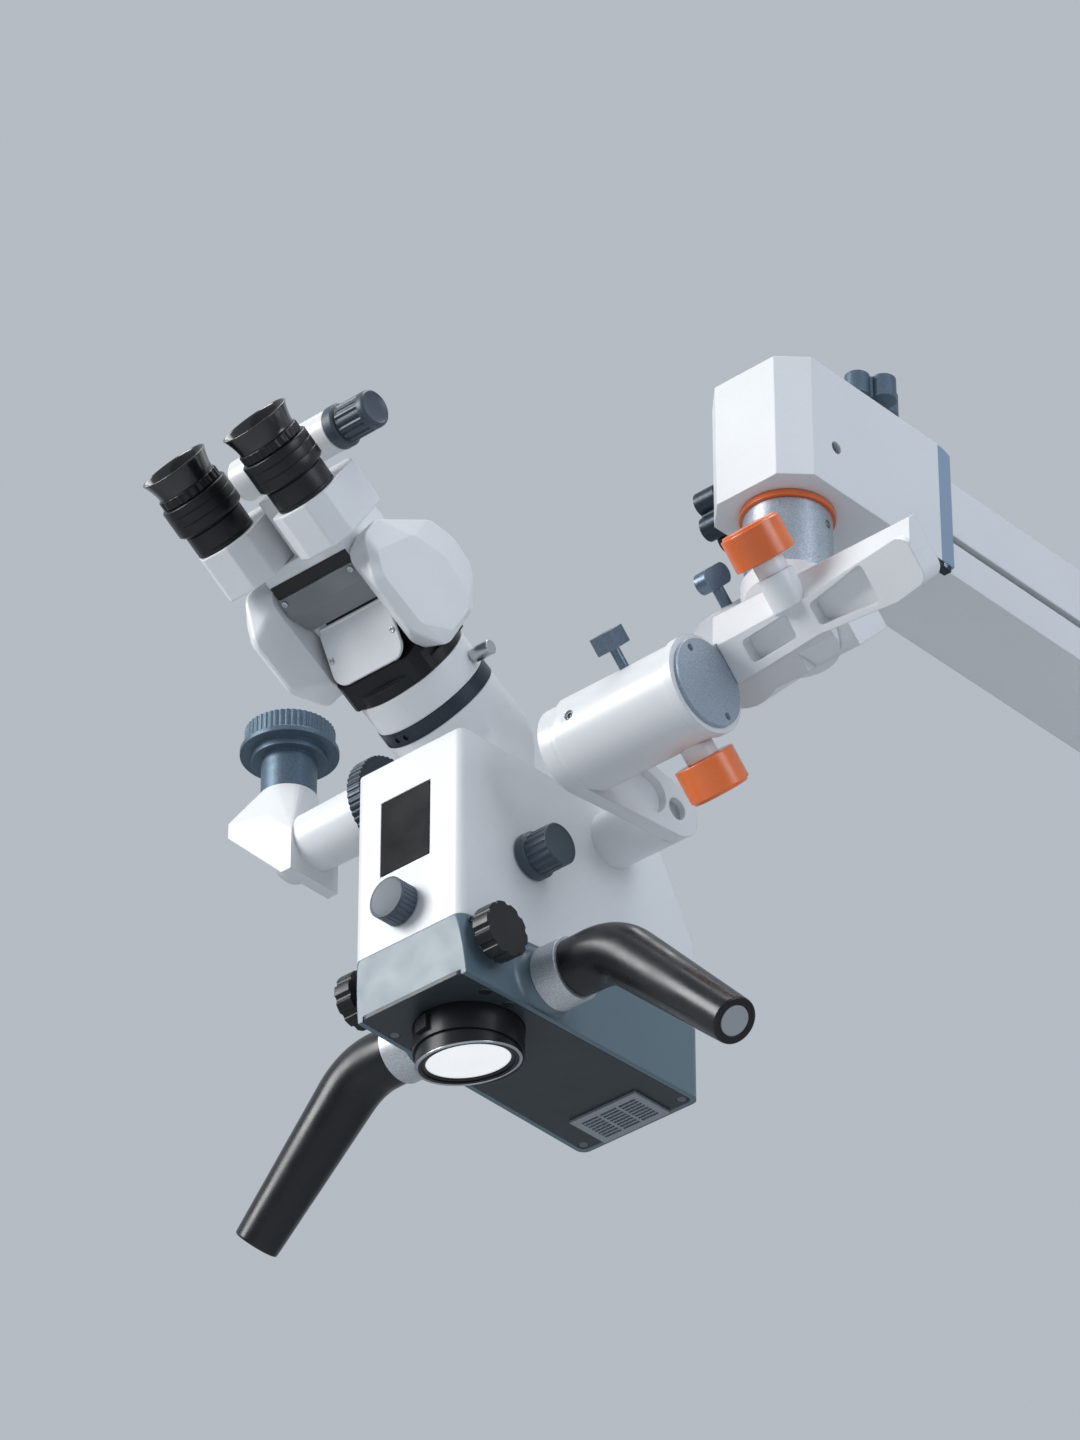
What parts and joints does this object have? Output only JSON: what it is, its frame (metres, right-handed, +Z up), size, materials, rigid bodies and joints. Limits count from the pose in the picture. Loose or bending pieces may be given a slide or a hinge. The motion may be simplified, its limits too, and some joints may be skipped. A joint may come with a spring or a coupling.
{
  "type": "dental microscope",
  "caption": "Dental operating microscope with tilting binocular, bent handles and camera port, hung by a jointed yoke from the front section of its suspension arm.",
  "frame": {"origin": "on the swivel axis of the stand spigot, in the plane of its shoulder", "axes": "+X to the operator's right, +Y away from the operator along the arm, +Z up"},
  "size_m": [0.5305, 0.8355, 0.4476],
  "materials": {
    "white_paint": "satin",
    "base_grey": "satin",
    "dark_plate": "satin",
    "black_plastic": "matte",
    "black_metal": "satin",
    "grip_rubber": "matte",
    "blue_anodised": "satin",
    "dark_anodised": "satin",
    "silver": "satin",
    "steel_plate": "satin",
    "orange": "satin",
    "window_glass": "gloss",
    "bronze": "satin",
    "grey_plastic": "satin",
    "bare_aluminium": "satin"
  },
  "bodies": {
    "stand_block": {"arm_base": "white_paint", "base_pivot_pins": "silver"},
    "lower_arm": {"arm_lower_shell": "white_paint", "arm_spring": "black_metal"},
    "upper_arm": {"arm_upper_shell": "white_paint"},
    "head": {"head_block": "white_paint", "head_end_collar": "blue_anodised", "head_bearing": "bronze", "head_pivot_pins": "silver"},
    "side_knob": {"head_side_knob": "dark_anodised"},
    "top_knob": {"head_top_knob": "blue_anodised"},
    "yoke": {"spindle": "silver", "spindle_ring": "orange", "yoke_casting": "white_paint"},
    "wing_screw": {"roll_wing_screw": "dark_anodised"},
    "roll_carrier": {"roll_beam": "white_paint", "tilt_drum": "white_paint", "drum_cap": "blue_anodised"},
    "roll_brake": {"roll_brake_knob": "orange"},
    "tilt_brake": {"tilt_brake_knob": "orange"},
    "tilt_lock": {"tilt_lock_screw": "dark_anodised"},
    "link": {"link_arm": "white_paint", "link_pin": "silver"},
    "microscope": {"body_housing": "white_paint", "body_base": "base_grey", "base_plate": "dark_plate", "vent_grille": "dark_plate", "body_screws": "dark_plate", "lamp_module": "bare_aluminium", "objective_barrel": "black_metal", "objective_hood": "black_metal", "front_window": "window_glass", "handle_collars": "silver", "tube_neck": "white_paint", "neck_clamp_ring": "dark_anodised"},
    "dimmer": {"dimmer_knob": "grey_plastic"},
    "magnification": {"mag_knob": "grey_plastic", "mag_drum": "bare_aluminium"},
    "focus": {"focus_knobs": "black_plastic"},
    "lens": {"lens_cell": "bare_aluminium"},
    "grip_right": {"handle_grip_right": "grip_rubber"},
    "grip_left": {"handle_grip_left": "grip_rubber"},
    "camera_port": {"port_elbow": "white_paint", "photo_tube": "blue_anodised"},
    "lock_ring": {"port_lock_ring": "dark_anodised"},
    "camera_thread": {"camera_ring": "blue_anodised"},
    "collar_screw": {"tube_clamp_screw": "silver"},
    "binocular_base": {"tube_collar": "white_paint", "hinge_housing": "black_metal", "hinge_covers": "white_paint", "hinge_front_plate": "white_paint"},
    "binocular_top": {"tilt_carriage": "white_paint", "hinge_step_plate": "steel_plate"},
    "pupil_knob": {"ipd_knob": "grey_plastic"},
    "slide_right": {"prism_box_right": "white_paint", "eyepiece_right": "black_plastic"},
    "slide_left": {"prism_box_left": "white_paint", "eyepiece_left": "black_plastic"},
    "diopter_right": {"eyecup_right": "grip_rubber"},
    "diopter_left": {"eyecup_left": "grip_rubber"}
  },
  "joints": [
    {"name": "arm_lift", "type": "hinge", "parent": "stand_block", "child": "lower_arm", "pos_m": [0, -0.034, 0.02], "axis": [-1, 0, 0], "range_deg": [-20, 20]},
    {"name": "upper_arm_lift", "type": "hinge", "parent": "stand_block", "child": "upper_arm", "pos_m": [0, -0.034, 0.05665], "axis": [-1, 0, 0], "range_deg": [-20, 20]},
    {"name": "head_level", "type": "hinge", "parent": "lower_arm", "child": "head", "pos_m": [0, -0.454, 0.02], "axis": [-1, 0, 0], "range_deg": [-20, 20]},
    {"name": "side_knob_turn", "type": "hinge", "parent": "head", "child": "side_knob", "pos_m": [-0.038, -0.534, 0.0346], "axis": [-1, 0, 0], "range_deg": [-90, 90]},
    {"name": "top_knob_turn", "type": "hinge", "parent": "head", "child": "top_knob", "pos_m": [0.019, -0.488, 0.0896], "axis": [0, 0, 1], "range_deg": [-90, 90]},
    {"name": "yoke_swivel", "type": "hinge", "parent": "head", "child": "yoke", "pos_m": [0, -0.54, 0.0056], "axis": [0, 0, 1], "range_deg": [-75, 150]},
    {"name": "wing_screw_turn", "type": "hinge", "parent": "yoke", "child": "wing_screw", "pos_m": [-0.0378, -0.55873, -0.03703], "axis": [0, -0.7071, 0.7071], "range_deg": [-90, 90]},
    {"name": "roll", "type": "hinge", "parent": "yoke", "child": "roll_carrier", "pos_m": [-0.0378, -0.57711, -0.11199], "axis": [0, 0.7071, 0.7071], "range_deg": [-30, 30]},
    {"name": "roll_brake_turn", "type": "hinge", "parent": "roll_carrier", "child": "roll_brake", "pos_m": [0.0226, -0.58645, -0.06023], "axis": [0, -0.7071, 0.7071], "range_deg": [-90, 90]},
    {"name": "tilt_brake_turn", "type": "hinge", "parent": "roll_carrier", "child": "tilt_brake", "pos_m": [-0.059, -0.54918, -0.13992], "axis": [0, 0.7071, -0.7071], "range_deg": [-90, 90]},
    {"name": "tilt_lock_turn", "type": "hinge", "parent": "roll_carrier", "child": "tilt_lock", "pos_m": [-0.0765, -0.60469, -0.08441], "axis": [0, -0.7071, 0.7071], "range_deg": [-90, 90]},
    {"name": "tilt", "type": "hinge", "parent": "roll_carrier", "child": "link", "pos_m": [0, -0.5757, -0.1134], "axis": [1, 0, 0], "range_deg": [-40, 60]},
    {"name": "body_pitch", "type": "hinge", "parent": "link", "child": "microscope", "pos_m": [-0.2242, -0.4927, -0.1159], "axis": [1, 0, 0], "range_deg": [-35, 35]},
    {"name": "dimmer_turn", "type": "hinge", "parent": "microscope", "child": "dimmer", "pos_m": [-0.2282, -0.6182, -0.1986], "axis": [0, -1, 0], "range_deg": [0, 270]},
    {"name": "magnification_turn", "type": "hinge", "parent": "microscope", "child": "magnification", "pos_m": [-0.2242, -0.5612, -0.1596], "axis": [1, 0, 0], "continuous": true},
    {"name": "focus_turn", "type": "hinge", "parent": "microscope", "child": "focus", "pos_m": [-0.2242, -0.5982, -0.2314], "axis": [1, 0, 0], "range_deg": [-360, 360]},
    {"name": "lens_focus", "type": "slide", "parent": "microscope", "child": "lens", "axis": [0, 0, 1], "range_m": [-0.002, 0.002]},
    {"name": "grip_right_turn", "type": "hinge", "parent": "microscope", "child": "grip_right", "pos_m": [-0.2242, -0.5502, -0.2393], "axis": [1, 0, 0], "range_deg": [-60, 60]},
    {"name": "grip_left_turn", "type": "hinge", "parent": "microscope", "child": "grip_left", "pos_m": [-0.2242, -0.5502, -0.2393], "axis": [1, 0, 0], "range_deg": [-60, 60]},
    {"name": "camera_port_turn", "type": "hinge", "parent": "microscope", "child": "camera_port", "pos_m": [-0.2962, -0.5658, -0.0766], "axis": [1, 0, 0], "range_deg": [-30, 30]},
    {"name": "lock_ring_turn", "type": "hinge", "parent": "microscope", "child": "lock_ring", "pos_m": [-0.2962, -0.5658, -0.0766], "axis": [1, 0, 0], "range_deg": [-45, 45]},
    {"name": "camera_ring_turn", "type": "hinge", "parent": "camera_port", "child": "camera_thread", "pos_m": [-0.3742, -0.5658, -0.0048], "axis": [0, 0, 1], "range_deg": [-180, 180]},
    {"name": "binocular_turn", "type": "hinge", "parent": "microscope", "child": "binocular_base", "pos_m": [-0.2242, -0.5658, -0.0668], "axis": [0, -0.866, 0.5], "range_deg": [-30, 30]},
    {"name": "collar_screw_turn", "type": "hinge", "parent": "binocular_base", "child": "collar_screw", "pos_m": [-0.1869, -0.60437, -0.0376], "axis": [1, 0, 0], "range_deg": [-180, 180]},
    {"name": "binocular_tilt", "type": "hinge", "parent": "binocular_base", "child": "binocular_top", "pos_m": [-0.2242, -0.66106, -0.0118], "axis": [1, 0, 0], "range_deg": [-40, 8]},
    {"name": "pupil_knob_turn", "type": "hinge", "parent": "binocular_top", "child": "pupil_knob", "pos_m": [-0.2242, -0.72159, 0.06208], "axis": [1, 0, 0], "range_deg": [-360, 360]},
    {"name": "pupil_slide_right", "type": "slide", "parent": "binocular_top", "child": "slide_right", "axis": [1, 0, 0], "range_m": [-0.005, 0.005]},
    {"name": "pupil_slide_left", "type": "slide", "parent": "binocular_top", "child": "slide_left", "axis": [-1, 0, 0], "range_m": [-0.005, 0.005]},
    {"name": "diopter_right_turn", "type": "hinge", "parent": "slide_right", "child": "diopter_right", "pos_m": [-0.1917, -0.73718, 0.00687], "axis": [0, -0.8387, 0.5446], "range_deg": [-90, 90]},
    {"name": "diopter_left_turn", "type": "hinge", "parent": "slide_left", "child": "diopter_left", "pos_m": [-0.2567, -0.73718, 0.00687], "axis": [0, -0.8387, 0.5446], "range_deg": [-90, 90]}
  ],
  "couplings": [
    {"joint": "upper_arm_lift", "follows": "arm_lift", "ratio": 1},
    {"joint": "head_level", "follows": "arm_lift", "ratio": -1},
    {"joint": "focus_turn", "follows": "lens_focus", "rad_per_m": 3138.5},
    {"joint": "pupil_knob_turn", "follows": "pupil_slide_right", "rad_per_m": 1255.4},
    {"joint": "pupil_slide_left", "follows": "pupil_slide_right", "ratio": 1}
  ]
}
